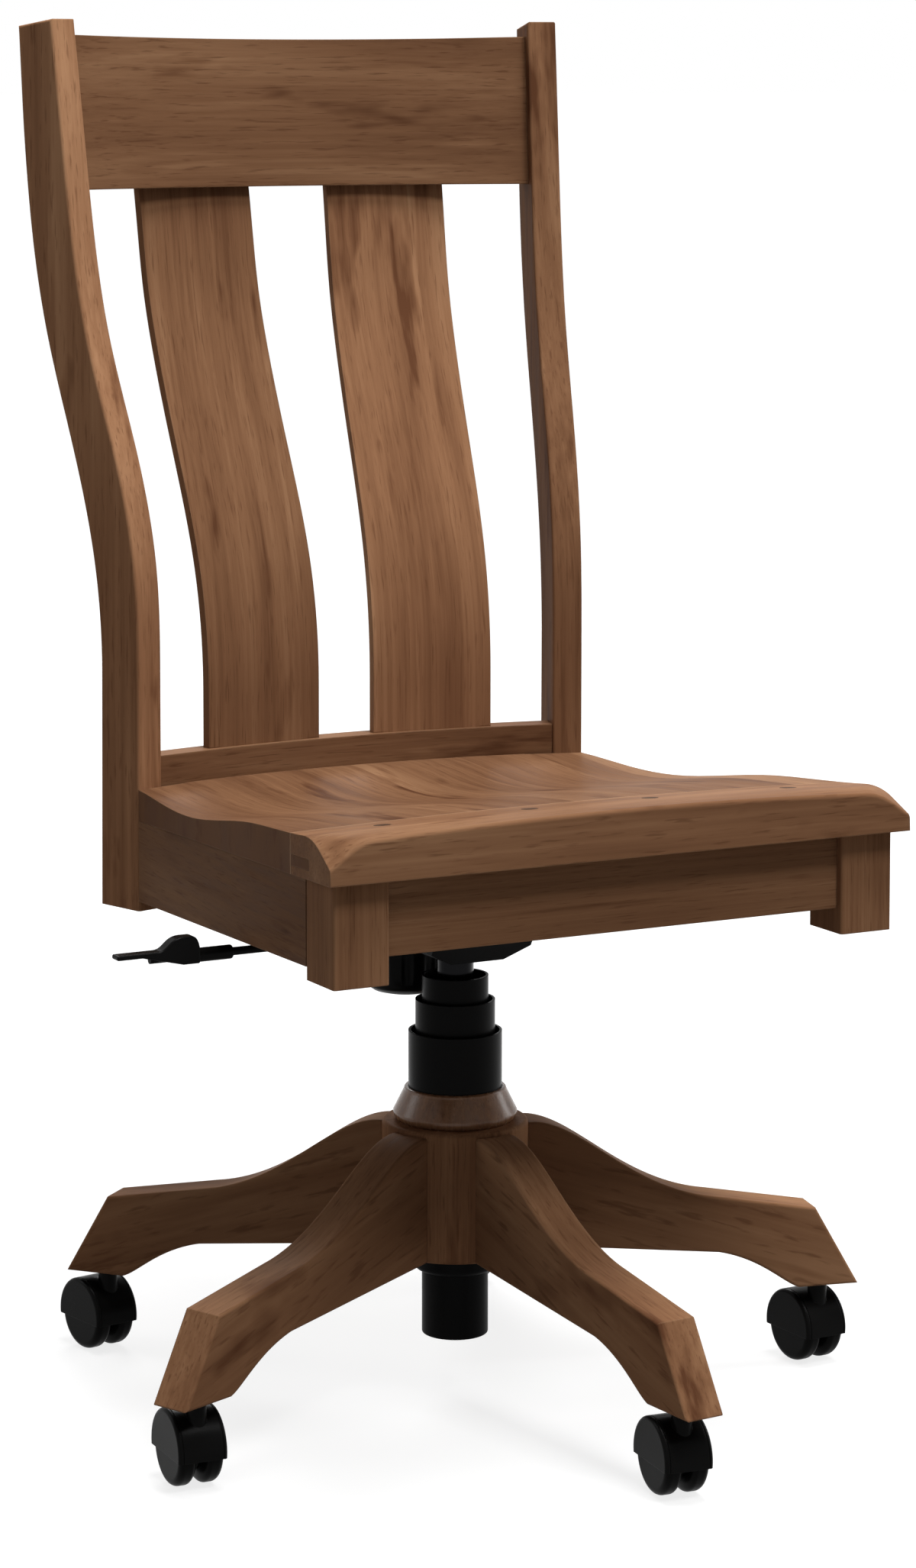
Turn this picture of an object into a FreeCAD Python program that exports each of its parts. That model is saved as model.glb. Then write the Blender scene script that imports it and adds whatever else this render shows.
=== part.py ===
import FreeCAD, Part
import math
import os
from FreeCAD import Vector

os.makedirs("parts", exist_ok=True)

# Frame: origin on the floor under the column, +Z up, the sitter faces -Y, lever on the -X side.
# Lengths are in millimetres and angles in degrees.
up = Vector(0, 0, 1)
right = Vector(1, 0, 0)
back = Vector(0, 1, 0)
centre = Vector(0, 0, 0)

# Overrun of a cutting tool past the piece it cuts, and a span wider than any piece
overrun = 5.0
span = 500.0
# Gap of a part that turns or slides in its guide, and of a part that only passes another
running_gap = 0.05
free_gap = 0.4
# Tolerance of a shell, as a share of its wall
thickness_share = 0.001
# Rounding of the wood's arrises
easing = 2.0

# Main heights: the tilt pin over the gas cylinder, and the seat's underside above it
pin_height = 388.0
pin_drop = 48.6
seat_underside = pin_height + pin_drop

# Legs: lengths out from the column axis and heights above the floor
leg_count = 5
first_leg_angle = 58.9
leg_width = 32.0
leg_root_top = 207.0
leg_root_bottom = 112.5
leg_toe_reach = 318.0
leg_end_run = 35.0
leg_end_reach = leg_toe_reach - leg_end_run
leg_end_height = 125.5
leg_knee_run = 83.0
leg_knee_reach = leg_end_reach - leg_knee_run
leg_knee_height = 140.0
leg_foot_length = 48.0
leg_heel_reach = leg_toe_reach - leg_foot_length
leg_arch_run = 65.0
leg_arch_reach = leg_heel_reach - leg_arch_run
leg_arch_height = 96.0
foot_height = 64.0
leg_tenon_depth = 22.0
leg_tenon_width = 14.0
leg_tenon_margin = 12.0
# Handles of the leg's curves as shares of each curve's run and rise
knee_handle_shares = ((0.276, 0.007), (0.531, 0.843))
arch_handle_shares = ((0.19, 0.12), (0.46, 0.76))

# Turned hub and collar
hub_radius = 55.0
hub_bottom = 112.0
hub_top = 210.5
hub_easing = 3.0
collar_height = 25.0
collar_foot_radius = 44.0
collar_wide_radius = 46.7
collar_bulge_height = 6.5
collar_top_radius = 38.5
collar_lip = 2.0
# Middle points of the collar's two rounds, as shares of their width and height
collar_swell_shares = (0.28, 0.42)
collar_nose_shares = (0.28, 0.3)

# Column: sleeve, tube and guide bush
sleeve_radius = 28.0
sleeve_top = 205.0
flange_radius = 31.0
flange_bottom = 95.5
flange_round = 6.0
tube_radius = 25.0
tube_wall = 1.5
tube_bottom = 45.8
tube_top = 231.0
tube_floor_bottom = 49.0
tube_floor_height = 5.0
bush_length = 62.0

# Gas cylinder with a cone at the top, piston rod, bearing and clip
cylinder_radius = 14.0
cylinder_wall = 2.0
cylinder_bottom = 100.0
cylinder_top = pin_height
cylinder_cap = 14.0
cone_drop = 1.1
rod_radius = 5.0
rod_shoulder_radius = 9.0
rod_shoulder_height = 3.0
rod_foot = 1.0
bearing_radius = 13.0
bearing_height = 6.0
clip_radius = 9.0
clip_height = 1.5
piston_bottom = 186.0
piston_height = 14.0
button_radius = 4.0
button_head = 1.8
button_lift = 1.8
button_stem_radius = 2.0
button_stem_length = 12.0

# Telescoping covers
cover_wall = 1.8
lower_cover_radius = 35.25
lower_cover_height = 42.5
lower_cover_top = hub_top + collar_height + lower_cover_height
middle_cover_radius = 30.0
middle_cover_rise = 23.6
middle_cover_top = lower_cover_top + middle_cover_rise
middle_cover_length = 68.0
upper_cover_radius = 25.0
upper_cover_rise = 18.4
upper_cover_top = middle_cover_top + upper_cover_rise
upper_cover_length = 52.0
cover_lip_height = 3.0
cover_web_height = 4.0

# Seat: plan, thickness over its length at the side edge and at the middle, slope
seat_slope = 3.06
seat_front = -258.0
seat_front_half = 233.2
seat_back_half = 193.2
seat_thickness = 34.0
scoop_overhang = 12.0
scoop_front = seat_front - scoop_overhang
scoop_length = 460.0
side_thickness_shares = (0.62, 0.88, 0.825, 0.78, 0.63, 0.49, 0.525, 0.68, 0.72)
middle_thickness_shares = (1.0, 0.985, 0.93, 0.815, 0.62, 0.465, 0.48, 0.665, 0.72)
across_shares = (-1.2, -0.6, 0.0, 0.6, 1.2)
roll_side_place = -229.4
roll_front_place = 209.0
roll_level = 28.0
roll_turn = 40.9
roll_radius = 34.0
front_round = 3.0

# Front strip with its groove, tongue and pegs
strip_joint = -183.0
tongue_length = 35.0
tongue_thickness = 8.0
tongue_height = 6.3
peg_radius = 6.25
peg_depth = 22.0
peg_line = -203.0
peg_outer_place = 165.0
peg_inner_place = 49.0

# Frame under the seat
front_post_side = 42.5
front_post_half = 225.0
front_post_front = -246.0
front_post_hang = 59.6
front_post_bottom = seat_underside - front_post_hang
rail_thickness = 22.0
rail_height = 61.4
front_rail_front = -240.0
front_rail_height = 41.1
front_rail_bottom = seat_underside - front_rail_height
tenon_thickness = 10.0
tenon_length = 20.0
post_tenon_length = 9.0
tenon_margin = 8.0
bearer_width = 62.0
bearer_thickness = 25.0
front_bearer_place = -62.0
rear_bearer_place = 86.0

# Back posts: turned in plan, bent in their own upright plane
post_turn = 16.2
post_outer_half = 193.5
post_front = 146.7
post_width = 23.5
post_depth = 43.3
post_foot_depth = 45.0
post_hang = 77.1
post_bottom = seat_underside - post_hang
post_rise = 597.9
post_top = seat_underside + post_rise
post_top_drop = 5.0
post_straight = 103.4
post_bend_start = seat_underside + post_straight
post_lean = 97.9
post_front_shares = (0.0, 0.042, 0.258, 0.568, 0.763, 0.884, 1.0)
post_back_shares = (0.0, 0.080, 0.317, 0.614, 0.812, 0.911, 0.966)

# Crest, lower back rail, apron and slats
crest_height = 118.5
crest_top_gap = 12.0
crest_top = post_top - crest_top_gap
crest_bottom = crest_top - crest_height
crest_middle = 275.0
crest_radius = 580.0
crest_thickness = 22.0
crest_lean = 15.3
crest_dip = 2.5
low_rail_drop = 9.6
low_rail_bottom = seat_underside - low_rail_drop
low_rail_height = 49.0
low_rail_top = low_rail_bottom + low_rail_height
low_rail_middle = 175.6
low_rail_radius = 750.0
low_rail_thickness = 20.0
apron_front = 158.0
apron_hang = 70.2
apron_bottom = seat_underside - apron_hang
board_tenon_length = 12.0
slat_place = 73.7
slat_front = 175.6
slat_turn = 5.8
slat_width = 100.0
slat_thickness = 8.4
slat_tongue = 11.0
slat_straight = 44.0
slat_bend_start = low_rail_top + slat_straight
slat_bend_top = crest_bottom + slat_tongue
slat_lean = 105.0
slat_shares = (0.0, 0.130, 0.492, 0.827, 1.0)
slat_shoulder = 10.0

# Tilt mechanism: housing, pin and seat plate
housing_wall = 2.5
housing_depth = 52.5
housing_floor = pin_height - housing_depth
housing_floor_half = 22.0
housing_half = 42.0
housing_chamfer = 10.0
housing_pan_front = -35.0
housing_pan_back = 30.0
housing_step_run = 5.0
housing_step_height = 20.5
housing_shelf = housing_floor + housing_step_height
housing_back = 118.0
housing_back_height = 16.0
housing_back_top = housing_shelf + housing_back_height
housing_front = -50.0
housing_front_lip = 4.0
housing_front_low = housing_shelf + housing_front_lip
housing_front_rise = 10.0
housing_front_top = pin_height + housing_front_rise
boss_radius = 20.0
boss_gap = 4.0
boss_top = pin_height - boss_gap
pin_place = -37.0
pin_radius = 5.0
pin_head_radius = 7.0
pin_head_height = 2.0
plate_half = 85.0
plate_front = -95.0
plate_back = 120.0
plate_thickness = 3.0
ear_gap = 1.0
ear_thickness = 3.0
ear_half = 13.0
ear_round = 13.0

# Height lever and its paddle
lever_place = -25.0
lever_rise = 5.0
lever_height = housing_shelf + lever_rise
lever_rod_radius = 3.0
lever_rod_end = -262.0
lever_pivot_x = -33.0
lever_pivot_rise = 11.0
lever_pivot_height = lever_height + lever_pivot_rise
lever_pivot_radius = 2.5
lever_lug = 2.5
lever_lug_radius = 6.0
lever_block = 8.0
lever_block_half = 5.0
lever_block_rise = 1.0
lever_block_bottom = housing_shelf + lever_block_rise
lever_arm_rise = 31.0
lever_arm_bottom = lever_height + lever_arm_rise
lever_arm_height = 3.0
lever_arm_end = 5.0
lever_hole_radius = 4.5
paddle_start = -197.0
paddle_length = 92.0
paddle_neck = 27.0
paddle_neck_radius = 5.2
paddle_half_width = 5.6
paddle_ridge = 34.0
paddle_ridge_end = 40.0
paddle_ridge_height = 15.2
paddle_fall_middle = 52.0
paddle_blade_start = 61.0
paddle_blade = 3.6
paddle_blade_top = 6.0
paddle_underside_start = 72.0
paddle_rounding = 1.4

# Tension knob, bolt, cup and spring
knob_place = 80.0
knob_radius = 38.0
knob_hang = 7.0
knob_bottom = housing_floor - knob_hang
knob_height = 25.5
knob_top = knob_bottom + knob_height
knob_dome = 12.0
# Middle point of the dome's arc, as shares of the knob's radius and the dome's height
knob_dome_shares = (0.55, 0.2)
bolt_radius = 5.0
bolt_depth = 16.0
bolt_bottom = knob_top - bolt_depth
bolt_length = 40.0
bolt_top = bolt_bottom + bolt_length
cup_gap = 3.0
cup_bottom = housing_shelf + cup_gap
cup_thickness = 4.0
cup_radius = 18.0
cup_rim_height = 3.0
cup_rim_wall = 2.0
cup_wing_half = 39.0
cup_wing_width = 12.0
spring_radius = 13.0
spring_wire = 4.0
spring_turns = 4
spring_drop = 33.6
spring_top = seat_underside - spring_drop

# Casters: the stem axis is the local origin, wheels trail along local +Y
wheel_radius = 27.0
wheel_inner = 1.8
wheel_outer = 16.9
wheel_throat = 17.0
wheel_tread_inner = 8.0
# Handles of the curve from the inner face to the tread, as shares of its run and rise
throat_handle_shares = ((0.129, 0.5), (0.387, 1.0))
wheel_recess_radius = 15.0
wheel_recess_depth = 6.6
wheel_hub_radius = 7.0
wheel_face = 3.0
wheel_outer_round = 5.0
axle_radius = 3.0
hood_radius = 28.6
hood_half = 18.5
hood_side_wall = 1.2
hood_skirt = 4.0
hood_round = 3.0
hood_groove_place = 15.2
hood_groove_width = 0.8
hood_groove_depth = 0.5
caster_trail = 14.0
caster_inset = 28.0
caster_circle = leg_toe_reach - caster_inset
caster_turns = (0.0, 9.0, -3.0, -6.0, 3.0)
neck_radius = 7.4
neck_top = 61.5
stem_radius = 5.5
stem_bottom = 54.5
stem_top = 92.0
socket_wall = 1.4
socket_flange_radius = 8.5
socket_flange_height = 1.0


def save(node, *solids):
    """One STEP file per node; identical pieces of a node stay separate solids."""
    shape = solids[0] if len(solids) == 1 else Part.makeCompound(list(solids))
    shape.exportStep("parts/" + node + ".step")


def block(x0, x1, y0, y1, z0, z1):
    return Part.makeBox(x1 - x0, y1 - y0, z1 - z0, Vector(x0, y0, z0))


def rod(radius, bottom, top, x=0.0, y=0.0):
    return Part.makeCylinder(radius, top - bottom, Vector(x, y, bottom))


def bar(radius, start, end):
    return Part.makeCylinder(radius, (end - start).Length, start, end - start)


def ring(outer, inner, bottom, top):
    return rod(outer, bottom, top).cut(rod(inner, bottom, top))


def closed_face(points):
    return Part.Face(Part.makePolygon(points + points[:1]))


def face_of(curves):
    edges = [curve.toShape() for curve in curves]
    return Part.Face(Part.Wire(Part.__sortEdges__(edges)))


def line(a, b):
    return Part.LineSegment(a, b)


def arc(a, b, c):
    return Part.Arc(a, b, c)


def bezier(*poles):
    curve = Part.BezierCurve()
    curve.setPoles(list(poles))
    return curve


def bend(points):
    """Smooth curve through points that leaves the first one straight up."""
    curve = Part.BSplineCurve()
    curve.interpolate(Points=points, InitialTangent=up, FinalTangent=points[-1] - points[-2])
    return curve


def prism(points, bottom, top):
    """Plan outline raised from bottom to top."""
    return closed_face([Vector(x, y, bottom) for x, y in points]).extrude(up * (top - bottom))


def mirrored(shape):
    return shape.mirror(centre, right)


def placed(shape, x, y, angle):
    """Turned about the upright through the origin, then moved to x, y."""
    moved = shape.copy()
    moved.rotate(centre, up, angle)
    moved.translate(Vector(x, y, 0))
    return moved


def joined(first, *others):
    return first.multiFuse(list(others)).removeSplitter().Solids[0]


def less(shape, *tools):
    result = shape
    for tool in tools:
        result = result.cut(tool)
    return result.Solids[0]


def is_upright(edge):
    run = edge.Vertexes[-1].Point - edge.Vertexes[0].Point
    return run.Length > 0 and abs(run.z) > run.Length * math.cos(math.radians(post_turn))


# Seat slope

def sloped(shape):
    """A level piece tipped back with the seat, about the seat's underside over the column."""
    tipped = shape.copy()
    tipped.rotate(Vector(0, 0, seat_underside), right, -seat_slope)
    return tipped


def under_seat(depth):
    """Everything between the seat's underside and a level that far below it."""
    return sloped(block(-span, span, -span, span, seat_underside - depth, seat_underside))


# Base

def leg_outline():
    """Side of a leg: top sweep, end face, foot, arch, underside and root."""
    def at(reach, height):
        return Vector(reach, -leg_width / 2, height)

    def handle(start, end, shares):
        return at(start.x + (end.x - start.x) * shares[0], start.z + (end.z - start.z) * shares[1])

    inside = hub_radius - overrun
    root = at(hub_radius, leg_root_top)
    knee = at(leg_knee_reach, leg_knee_height)
    heel = at(leg_heel_reach, foot_height)
    arch = at(leg_arch_reach, leg_arch_height)
    end = at(leg_end_reach, leg_end_height)
    toe = at(leg_toe_reach, foot_height)
    low = at(inside, leg_root_bottom)
    high = at(inside, leg_root_top)
    sweep = bezier(root, *[handle(root, knee, s) for s in knee_handle_shares], knee)
    hollow = bezier(heel, *[handle(heel, arch, s) for s in arch_handle_shares], arch)
    return face_of([line(high, root), sweep, line(knee, end), line(end, toe), line(toe, heel),
                    hollow, line(arch, low), line(low, high)])


def leg_tenon():
    half = leg_tenon_width / 2
    bottom = leg_root_bottom + leg_tenon_margin
    top = leg_root_top - leg_tenon_margin
    inner = hub_radius - leg_tenon_depth
    return block(inner, hub_radius + overrun, -half, half, bottom, top)


def leg():
    blank = leg_outline().extrude(back * leg_width)

    def arris(edge):
        middle = edge.BoundBox.Center
        return abs(middle.y) > leg_width / 2 - easing and middle.x > hub_radius

    shaped = blank.makeFillet(easing, [edge for edge in blank.Edges if arris(edge)])
    coped = shaped.cut(rod(hub_radius, 0, hub_top))
    drilled = coped.cut(rod(stem_radius + socket_wall, 0, stem_top, caster_circle))
    seated = drilled.cut(rod(socket_flange_radius, 0, foot_height + socket_flange_height, caster_circle))
    return joined(seated, leg_tenon())


def leg_angles():
    return [first_leg_angle + 360 / leg_count * i for i in range(leg_count)]


def hub():
    body = rod(hub_radius, hub_bottom, hub_top)
    rims = [edge for edge in body.Edges if len(edge.Vertexes) == 1]
    body = body.makeFillet(hub_easing, rims)
    body = body.cut(rod(sleeve_radius, 0, sleeve_top)).cut(rod(tube_radius, 0, hub_top))
    return less(body, *[placed(leg_tenon(), 0, 0, angle) for angle in leg_angles()])


def collar():
    def at(radius, height):
        return Vector(radius, 0, hub_top + height)

    wide = at(collar_wide_radius, collar_bulge_height)
    foot = at(collar_foot_radius, 0)
    swell = at(collar_wide_radius - (collar_wide_radius - collar_foot_radius) * collar_swell_shares[0],
               collar_bulge_height * collar_swell_shares[1])
    slope = at(collar_top_radius, collar_height - collar_lip)
    lip = at(collar_top_radius - collar_lip, collar_height)
    nose = at(collar_top_radius - collar_lip * collar_nose_shares[0],
              collar_height - collar_lip * collar_nose_shares[1])
    inner_top = at(lower_cover_radius, collar_height)
    inner_foot = at(lower_cover_radius, 0)
    outline = face_of([arc(foot, swell, wide), line(wide, slope), arc(slope, nose, lip),
                       line(lip, inner_top), line(inner_top, inner_foot), line(inner_foot, foot)])
    return outline.revolve(centre, up, 360).Solids[0]


def column_sleeve():
    body = ring(sleeve_radius, tube_radius, flange_bottom, sleeve_top)
    flange = rod(flange_radius, flange_bottom, hub_bottom)
    low = [edge for edge in flange.Edges if edge.BoundBox.ZMax < hub_bottom and len(edge.Vertexes) == 1]
    flange = flange.makeFillet(flange_round - easing, low).cut(rod(tube_radius, 0, hub_top))
    return joined(body, flange)


def column_tube():
    body = rod(tube_radius, tube_bottom, tube_top)
    low = [edge for edge in body.Edges if edge.BoundBox.ZMax < hub_bottom and len(edge.Vertexes) == 1]
    body = body.makeFillet(tube_wall, low)
    floor_top = tube_floor_bottom + tube_floor_height
    bore = tube_radius - tube_wall
    return less(body, rod(bore, floor_top, tube_top), rod(bore - tube_wall, 0, tube_floor_bottom),
                rod(rod_radius + running_gap, 0, tube_top))


def guide_bush():
    return ring(tube_radius - tube_wall, cylinder_radius + running_gap, tube_top - bush_length, tube_top)


def cover(radius, bottom, top):
    return ring(radius, radius - cover_wall, bottom, top)


def cover_lower():
    return cover(lower_cover_radius, hub_top, lower_cover_top).Solids[0]


def cover_middle():
    """Tube with an outward guide lip at its foot, inside the lower cover."""
    bottom = middle_cover_top - middle_cover_length
    lip = ring(lower_cover_radius - cover_wall - free_gap, middle_cover_radius - cover_wall,
               bottom, bottom + cover_lip_height)
    return joined(cover(middle_cover_radius, bottom, middle_cover_top), lip)


def cover_upper():
    """Tube with a guide lip at its foot and an inner web that grips the gas cylinder."""
    bottom = upper_cover_top - upper_cover_length
    lip = ring(middle_cover_radius - cover_wall - free_gap, upper_cover_radius - cover_wall,
               bottom, bottom + cover_lip_height)
    web = ring(upper_cover_radius - cover_wall, cylinder_radius, bottom, bottom + cover_web_height)
    return joined(cover(upper_cover_radius, bottom, upper_cover_top), lip, web)


def caster_socket():
    tube = rod(stem_radius + socket_wall, foot_height, stem_top, caster_circle)
    flange = rod(socket_flange_radius, foot_height, foot_height + socket_flange_height, caster_circle)
    return less(tube.fuse(flange), rod(stem_radius, 0, stem_top - socket_wall, caster_circle))


def caster_stem():
    return rod(stem_radius, stem_bottom, stem_top - socket_wall, caster_circle)


# Gas lift

def piston_rod():
    foot = tube_floor_bottom - clip_height - rod_foot
    floor_top = tube_floor_bottom + tube_floor_height
    shoulder = floor_top + bearing_height
    piston_radius = cylinder_radius - cylinder_wall - running_gap
    return joined(rod(rod_radius, foot, piston_bottom + piston_height),
                  rod(rod_shoulder_radius, shoulder, shoulder + rod_shoulder_height),
                  rod(piston_radius, piston_bottom, piston_bottom + piston_height))


def thrust_bearing():
    floor_top = tube_floor_bottom + tube_floor_height
    return ring(bearing_radius, rod_radius + running_gap, floor_top, floor_top + bearing_height)


def rod_clip():
    return ring(clip_radius, rod_radius, tube_floor_bottom - clip_height, tube_floor_bottom)


def cylinder_outside():
    """Straight barrel up to the housing's floor, then a slim cone."""
    points = [(0, cylinder_bottom), (cylinder_radius, cylinder_bottom), (cylinder_radius, housing_floor),
              (cylinder_radius - cone_drop, cylinder_top), (0, cylinder_top)]
    return closed_face([Vector(r, 0, z) for r, z in points]).revolve(centre, up, 360)


def gas_cylinder():
    room = rod(cylinder_radius - cylinder_wall, cylinder_bottom + cylinder_cap, housing_floor)
    way_out = rod(rod_radius + running_gap, 0, housing_floor)
    return less(cylinder_outside(), room, way_out, button_bore())


def button_bore():
    return rod(button_stem_radius + running_gap, cylinder_top - button_stem_length - button_lift,
               cylinder_top + overrun)


def release_button():
    seat = cylinder_top + button_lift
    return joined(rod(button_radius, seat, seat + button_head),
                  rod(button_stem_radius, cylinder_top - button_stem_length, seat))


# Seat

def half_width(y):
    run = (y - seat_front) / (post_front - seat_front)
    return seat_front_half + (seat_back_half - seat_front_half) * run


def scoop():
    """Everything above the seat's sculpted top, as a smooth surface raised upwards."""
    rows = []
    for i, (side, middle) in enumerate(zip(side_thickness_shares, middle_thickness_shares)):
        y = scoop_front + scoop_length * i / (len(side_thickness_shares) - 1)
        row = []
        for share in across_shares:
            rise = (side + (middle - side) * (1 - share * share)) * seat_thickness
            row.append(Vector(share * half_width(y), y, seat_underside + rise))
        rows.append(row)
    surface = Part.BSplineSurface()
    surface.interpolate(rows)
    return Part.Face(surface).extrude(up * span)


def corner_slice():
    """Cutter over the flat that slopes down to the left front corner of the seat."""
    side = Vector(-half_width(roll_side_place), roll_side_place, seat_underside + roll_level)
    front = Vector(-roll_front_place, seat_front, seat_underside + roll_level)
    along = (front - side).normalize()
    out = Vector(along.y, -along.x, 0)
    turn = math.radians(roll_turn)
    downhill = out * math.cos(turn) - up * math.sin(turn)
    start = side - along * span
    outline = closed_face([start - downhill * span, start + downhill * span,
                           start + downhill * span + up * span * 2])
    return outline.extrude(along * span * 2)


def is_corner_crease(edge):
    """Whether an edge of the seat lies where a corner flat meets the sculpted top."""
    box = edge.BoundBox
    return box.YMax < strip_joint and min(box.XLength, box.YLength) > box.ZLength


def is_front_brim(edge):
    """Whether an edge of the seat runs along the top of its front face."""
    box = edge.BoundBox
    level = box.ZMin > seat_underside + front_round and box.XLength > box.ZLength
    return level and box.YMax < seat_front + front_round


def behind_post_front(shift=0.0):
    """Region behind the left back post's front face, moved back by shift."""
    return placed(block(-span, post_width * 2, shift, span, 0, post_top * 2),
                  -post_outer_half, post_front, post_turn)


def seat_blank():
    plan = [(-seat_front_half, seat_front), (seat_front_half, seat_front)]
    rear = post_front + post_depth
    plan += [(half_width(rear), rear), (-half_width(rear), rear)]
    blank = prism(plan, seat_underside, seat_underside + seat_thickness * 2)
    corner = corner_slice()
    shaped = less(blank, scoop(), corner, mirrored(corner))
    shaped = shaped.makeFillet(roll_radius, [edge for edge in shaped.Edges if is_corner_crease(edge)])
    shaped = sloped(shaped.makeFillet(front_round, [edge for edge in shaped.Edges if is_front_brim(edge)]))
    post_side = behind_post_front()
    curve = rod(low_rail_radius, 0, post_top, 0, low_rail_middle - low_rail_radius)
    return less(shaped.common(curve), post_side, mirrored(post_side))


def strip_space():
    """Space of the front strip, less the tongue of the seat panel."""
    z0, z1 = seat_underside - overrun, seat_underside + seat_thickness * 2
    tongue_bottom = seat_underside + tongue_height
    strip = block(-span, span, seat_front - overrun, strip_joint, z0, z1)
    tongue = block(-span, span, strip_joint - tongue_length, strip_joint,
                   tongue_bottom, tongue_bottom + tongue_thickness)
    return sloped(strip.cut(tongue))


def peg_tools():
    low = seat_underside + seat_thickness - peg_depth - tongue_thickness
    places = (-peg_outer_place, -peg_inner_place, peg_inner_place, peg_outer_place)
    return [sloped(rod(peg_radius, low, low + seat_thickness * 2, x, peg_line)) for x in places]


def seat_pieces():
    """Panel, front strip and the four pegs, cut from one sculpted blank."""
    blank = seat_blank()
    space = strip_space()
    tools = peg_tools()
    strip = less(blank.common(space), *tools)
    panel = less(blank.cut(space), *tools)
    pegs = [blank.common(tool).Solids[0] for tool in tools]
    return panel, strip, pegs


# Frame under the seat

def side_rail_plan(outer, inner, start, end):
    """Plan of the left side rail between two offsets from its outer face."""
    lean = (post_outer_half - front_post_half) / (post_front - front_post_front - front_post_side)

    def face(y, offset):
        return -front_post_half - (y - front_post_front - front_post_side) * lean + offset, y

    return [face(start, outer), face(end, outer), face(end, inner), face(start, inner)]


def side_rail():
    """Left side rail with a tenon into the front post and one into the back post."""
    start = front_post_front + front_post_side
    rear = post_front + post_depth
    body = prism(side_rail_plan(0, rail_thickness, start, rear), 0, post_top)
    body = body.common(under_seat(rail_height)).cut(behind_post_front())
    cheek = (rail_thickness - tenon_thickness) / 2
    plan = side_rail_plan(cheek, rail_thickness - cheek, start - tenon_length, rear)
    tongue = prism(plan, 0, post_top).cut(behind_post_front(post_tenon_length))
    level = sloped(block(-span, span, -span, span, seat_underside - rail_height + tenon_margin,
                         seat_underside - tenon_margin))
    return joined(body.Solids[0], tongue.common(level).Solids[0])


def front_post(rail, cross_rail):
    inner = front_post_half - front_post_side
    post = block(-front_post_half, -inner, front_post_front, front_post_front + front_post_side,
                 front_post_bottom, seat_underside + seat_thickness)
    corners = [edge for edge in post.Edges if is_upright(edge)]
    post = post.makeFillet(easing, corners).common(under_seat(span / 2))
    return less(post, rail, cross_rail)


def front_rail():
    inner = front_post_half - front_post_side
    rear = front_rail_front + rail_thickness
    body = block(-inner, inner, front_rail_front, rear, front_rail_bottom, seat_underside + seat_thickness)
    cheek = (rail_thickness - tenon_thickness) / 2
    reach = inner + tenon_length
    tongue = block(-reach, reach, front_rail_front + cheek, rear - cheek,
                   front_rail_bottom + tenon_margin, seat_underside)
    return joined(body.common(under_seat(span / 2)).Solids[0], tongue)


def bearers():
    """Two cross bearers let in between the side rails, under the seat panel."""
    start, end = front_post_front, post_front
    left = side_rail_plan(rail_thickness, span, start, end)
    plan = [left[0], left[1], (-left[1][0], end), (-left[0][0], start)]
    between = prism(plan, 0, post_top)
    pieces = []
    for place in (front_bearer_place, rear_bearer_place):
        level = block(-span, span, place - bearer_width / 2, place + bearer_width / 2,
                      seat_underside - bearer_thickness, seat_underside)
        pieces.append(sloped(level).common(between).Solids[0])
    return pieces


# Back

def post_blank():
    """Left back post before its mortises: bent outline across the post's width."""
    def at(depth, height):
        return Vector(0, depth, height)

    def bent(shares, depth, top):
        step = (top - post_bend_start) / (len(shares) - 1)
        return [at(depth + share * post_lean, post_bend_start + i * step) for i, share in enumerate(shares)]

    front = bent(post_front_shares, 0, post_top)
    rear = bent(post_back_shares, post_depth, post_top - post_top_drop)
    foot_front, foot_rear = at(0, post_bottom), at(post_foot_depth, post_bottom)
    outline = face_of([line(foot_front, front[0]), bend(front), line(front[-1], rear[-1]),
                       bend(rear), line(rear[0], foot_rear), line(foot_rear, foot_front)])
    blank = outline.extrude(right * post_width)

    def arris(edge):
        box = edge.BoundBox
        along = box.ZMax - box.ZMin > post_depth
        return along or (box.ZMin > post_top - post_lean and box.XMax - box.XMin < post_width / 2)

    shaped = blank.makeFillet(easing, [edge for edge in blank.Edges if arris(edge)])
    return placed(shaped.Solids[0], -post_outer_half, post_front, post_turn)


def outside_posts(shift=0.0):
    """Regions past the inner faces of the two back posts, moved outwards by shift."""
    left = placed(block(-span, post_width - shift, -span, span, 0, post_top * 2),
                  -post_outer_half, post_front, post_turn)
    return left, mirrored(left)


def curved_board(middle, radius, thickness, bottom, top, lean):
    """Board on a circle in plan, raised along a leaning direction."""
    def at(size, x):
        return Vector(x, middle - radius + math.sqrt(size * size - x * x), bottom)

    half = post_outer_half + post_depth
    far = radius + thickness
    outline = face_of([arc(at(radius, -half), at(radius, 0), at(radius, half)),
                       line(at(radius, half), at(far, half)),
                       arc(at(far, half), at(far, 0), at(far, -half)),
                       line(at(far, -half), at(radius, -half))])
    return outline.extrude(Vector(0, lean, top - bottom))


def between_posts(board, core):
    """Board fitted between the back posts, with the core running on into them as tenons."""
    return joined(less(board, *outside_posts()), less(core, *outside_posts(board_tenon_length)))


def crest_rail():
    height = crest_top - crest_bottom
    board = curved_board(crest_middle, crest_radius, crest_thickness, crest_bottom, crest_top, crest_lean)
    reach = post_outer_half
    dip_radius = (reach * reach + crest_dip * crest_dip) / (2 * crest_dip)
    low = bar(dip_radius, Vector(0, -span, crest_top - crest_dip + dip_radius),
              Vector(0, span, crest_top - crest_dip + dip_radius))
    board = board.cut(low)
    cheek = (crest_thickness - tenon_thickness) / 2
    slant = crest_lean / height
    core = curved_board(crest_middle + cheek + tenon_margin * slant, crest_radius + cheek, tenon_thickness,
                        crest_bottom + tenon_margin, crest_top - tenon_margin,
                        (height - 2 * tenon_margin) * slant)
    return between_posts(board, core)


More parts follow.
